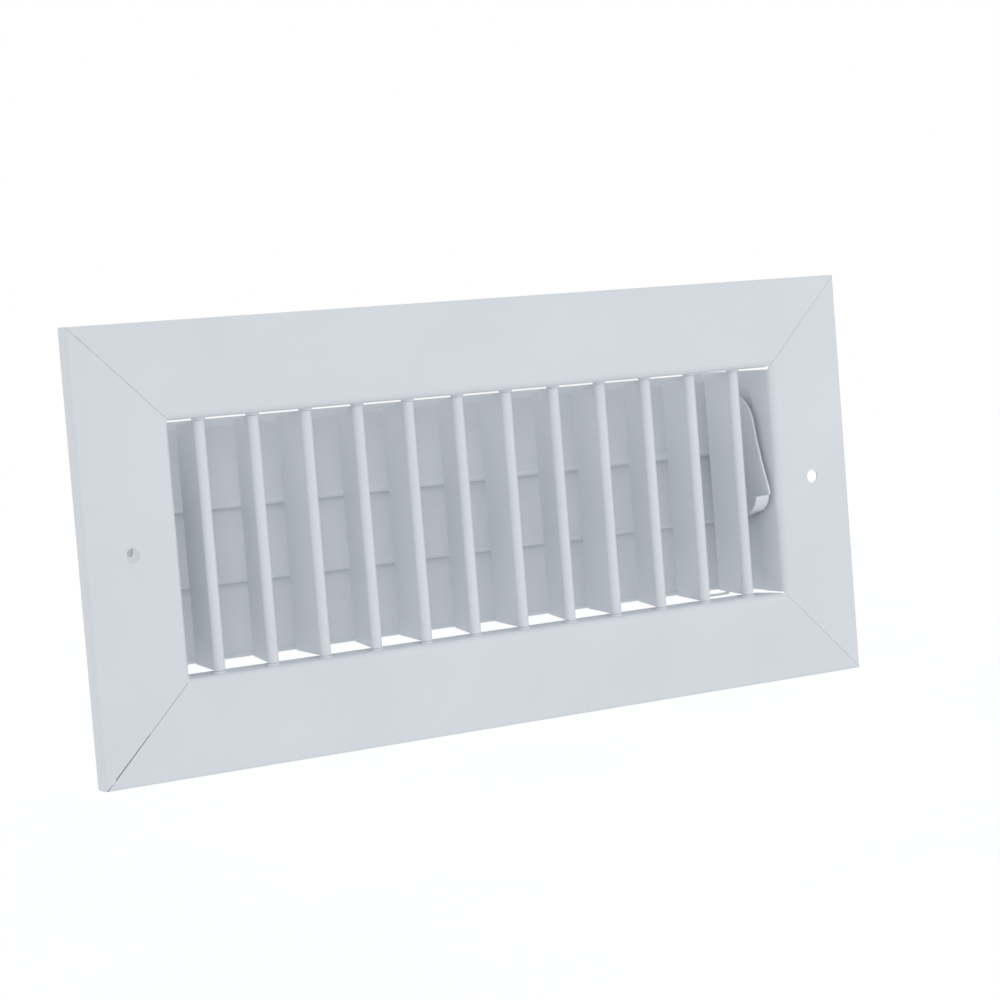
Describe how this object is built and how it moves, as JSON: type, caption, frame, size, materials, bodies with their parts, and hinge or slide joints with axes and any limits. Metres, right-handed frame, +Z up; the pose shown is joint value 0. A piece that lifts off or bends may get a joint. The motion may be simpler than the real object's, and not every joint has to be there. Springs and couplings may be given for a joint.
{
  "type": "louvred air grille",
  "caption": "White steel side-wall air register with upright turning blades, a rear shutter damper and a side lever.",
  "frame": {"origin": "centre of the face frame's front plane, midway between the two wall screw holes", "axes": "+X along the width to the right seen from the front, +Y back into the wall and duct, +Z up"},
  "size_m": [0.2984, 0.057, 0.146],
  "materials": {
    "powder_coat": "satin",
    "plated_steel": "satin",
    "nylon": "satin"
  },
  "bodies": {
    "frame": {"frame_top": "powder_coat", "frame_bottom": "powder_coat", "frame_left": "powder_coat", "frame_right": "powder_coat", "corner_keys": "plated_steel", "blade_bushes_top": "nylon", "blade_bushes_bottom": "nylon", "blade_pins_top": "plated_steel", "blade_pins_bottom": "plated_steel", "damper_end_left": "powder_coat", "damper_end_right": "powder_coat", "shutter_spacers": "nylon", "shutter_rivets": "plated_steel", "lever_spacer": "nylon", "lever_rivet": "plated_steel"},
    "blade_01": {"blade_01": "powder_coat"},
    "blade_02": {"blade_02": "powder_coat"},
    "blade_03": {"blade_03": "powder_coat"},
    "blade_04": {"blade_04": "powder_coat"},
    "blade_05": {"blade_05": "powder_coat"},
    "blade_06": {"blade_06": "powder_coat"},
    "blade_07": {"blade_07": "powder_coat"},
    "blade_08": {"blade_08": "powder_coat"},
    "blade_09": {"blade_09": "powder_coat"},
    "blade_10": {"blade_10": "powder_coat"},
    "blade_11": {"blade_11": "powder_coat"},
    "blade_12": {"blade_12": "powder_coat"},
    "lever": {"damper_lever": "powder_coat", "lever_pin": "plated_steel"},
    "link": {"link_bar": "plated_steel", "crank_pins": "plated_steel"},
    "shutter_top": {"shutter_top": "powder_coat"},
    "shutter_middle": {"shutter_middle": "powder_coat"},
    "shutter_bottom": {"shutter_bottom": "powder_coat"}
  },
  "joints": [
    {"name": "blade_01_pivot", "type": "hinge", "parent": "frame", "child": "blade_01", "pos_m": [-0.10547, 0.0047, 0], "axis": [0, 0, -1], "range_deg": [-38.5, 46.5]},
    {"name": "blade_02_pivot", "type": "hinge", "parent": "frame", "child": "blade_02", "pos_m": [-0.08642, 0.0047, 0], "axis": [0, 0, -1], "range_deg": [-49.5, 40.5]},
    {"name": "blade_03_pivot", "type": "hinge", "parent": "frame", "child": "blade_03", "pos_m": [-0.06736, 0.0047, 0], "axis": [0, 0, -1], "range_deg": [-38, 52]},
    {"name": "blade_04_pivot", "type": "hinge", "parent": "frame", "child": "blade_04", "pos_m": [-0.0483, 0.0047, 0], "axis": [0, 0, -1], "range_deg": [-49, 41]},
    {"name": "blade_05_pivot", "type": "hinge", "parent": "frame", "child": "blade_05", "pos_m": [-0.02924, 0.0047, 0], "axis": [0, 0, -1], "range_deg": [-43, 47]},
    {"name": "blade_06_pivot", "type": "hinge", "parent": "frame", "child": "blade_06", "pos_m": [-0.01018, 0.0047, 0], "axis": [0, 0, -1], "range_deg": [-51, 39]},
    {"name": "blade_07_pivot", "type": "hinge", "parent": "frame", "child": "blade_07", "pos_m": [0.00888, 0.0047, 0], "axis": [0, 0, -1], "range_deg": [-43, 47]},
    {"name": "blade_08_pivot", "type": "hinge", "parent": "frame", "child": "blade_08", "pos_m": [0.02794, 0.0047, 0], "axis": [0, 0, -1], "range_deg": [-52, 38]},
    {"name": "blade_09_pivot", "type": "hinge", "parent": "frame", "child": "blade_09", "pos_m": [0.047, 0.0047, 0], "axis": [0, 0, -1], "range_deg": [-43, 47]},
    {"name": "blade_10_pivot", "type": "hinge", "parent": "frame", "child": "blade_10", "pos_m": [0.06606, 0.0047, 0], "axis": [0, 0, -1], "range_deg": [-52, 38]},
    {"name": "blade_11_pivot", "type": "hinge", "parent": "frame", "child": "blade_11", "pos_m": [0.08512, 0.0047, 0], "axis": [0, 0, -1], "range_deg": [-45.5, 44.5]},
    {"name": "blade_12_pivot", "type": "hinge", "parent": "frame", "child": "blade_12", "pos_m": [0.10418, 0.0047, 0], "axis": [0, 0, -1], "range_deg": [-43.5, 14.5]},
    {"name": "lever_pivot", "type": "hinge", "parent": "frame", "child": "lever", "pos_m": [0.11503, 0.022, 0.019], "axis": [-1, 0, 0], "range_deg": [0, 77]},
    {"name": "link_pivot", "type": "hinge", "parent": "lever", "child": "link", "pos_m": [0.11607, 0.0283, 0.02392], "axis": [1, 0, 0], "range_deg": [0, 77]},
    {"name": "shutter_top_pivot", "type": "hinge", "parent": "frame", "child": "shutter_top", "pos_m": [0, 0.0395, 0.0244], "axis": [-1, 0, 0], "range_deg": [0, 77]},
    {"name": "shutter_middle_pivot", "type": "hinge", "parent": "frame", "child": "shutter_middle", "pos_m": [0, 0.0395, -0.0008], "axis": [-1, 0, 0], "range_deg": [0, 77]},
    {"name": "shutter_bottom_pivot", "type": "hinge", "parent": "frame", "child": "shutter_bottom", "pos_m": [0, 0.0395, -0.026], "axis": [-1, 0, 0], "range_deg": [0, 77]}
  ],
  "couplings": [
    {"joint": "link_pivot", "follows": "lever_pivot", "ratio": 1},
    {"joint": "shutter_top_pivot", "follows": "lever_pivot", "ratio": 1},
    {"joint": "shutter_middle_pivot", "follows": "lever_pivot", "ratio": 1},
    {"joint": "shutter_bottom_pivot", "follows": "lever_pivot", "ratio": 1}
  ]
}
